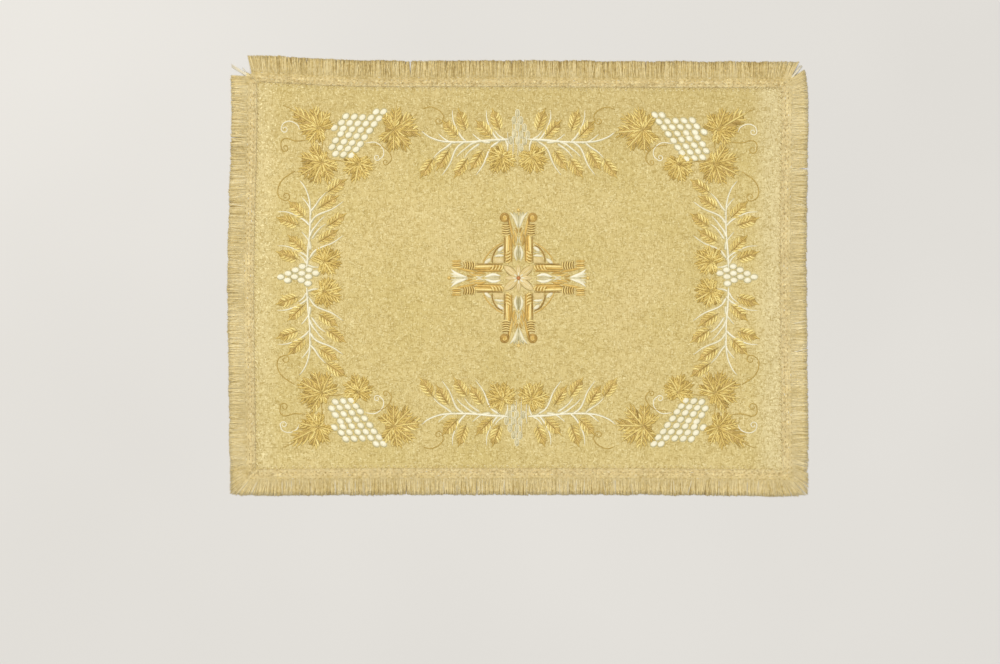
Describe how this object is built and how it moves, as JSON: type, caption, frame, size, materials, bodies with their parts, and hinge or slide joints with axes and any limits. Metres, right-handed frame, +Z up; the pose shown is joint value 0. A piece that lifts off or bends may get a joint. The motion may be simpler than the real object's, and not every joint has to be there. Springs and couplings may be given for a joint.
{
  "type": "aer",
  "caption": "Large rectangular gold brocade liturgical veil laid flat, with brush fringe sewn round all its edges.",
  "frame": {"origin": "on the surface that the cloth lies on, under the middle of its outline", "axes": "+X along the long side, +Y towards the upper edge as the cloth is laid out, +Z up through the cloth to its face"},
  "size_m": [0.8054, 0.6132, 0.0027],
  "materials": {
    "brocade": "gold jacquard brocade with a low metallic sheen",
    "fringe": "soft rayon brush fringe, pale gold",
    "gold_thread": "satin stitch in gold metallic thread",
    "white_thread": "satin stitch in glossy white and silver thread"
  },
  "bodies": {
    "root": {"panel": "brocade", "fringe_top": "fringe", "fringe_right": "fringe", "fringe_bottom": "fringe", "fringe_left": "fringe"}
  },
  "joints": []
}
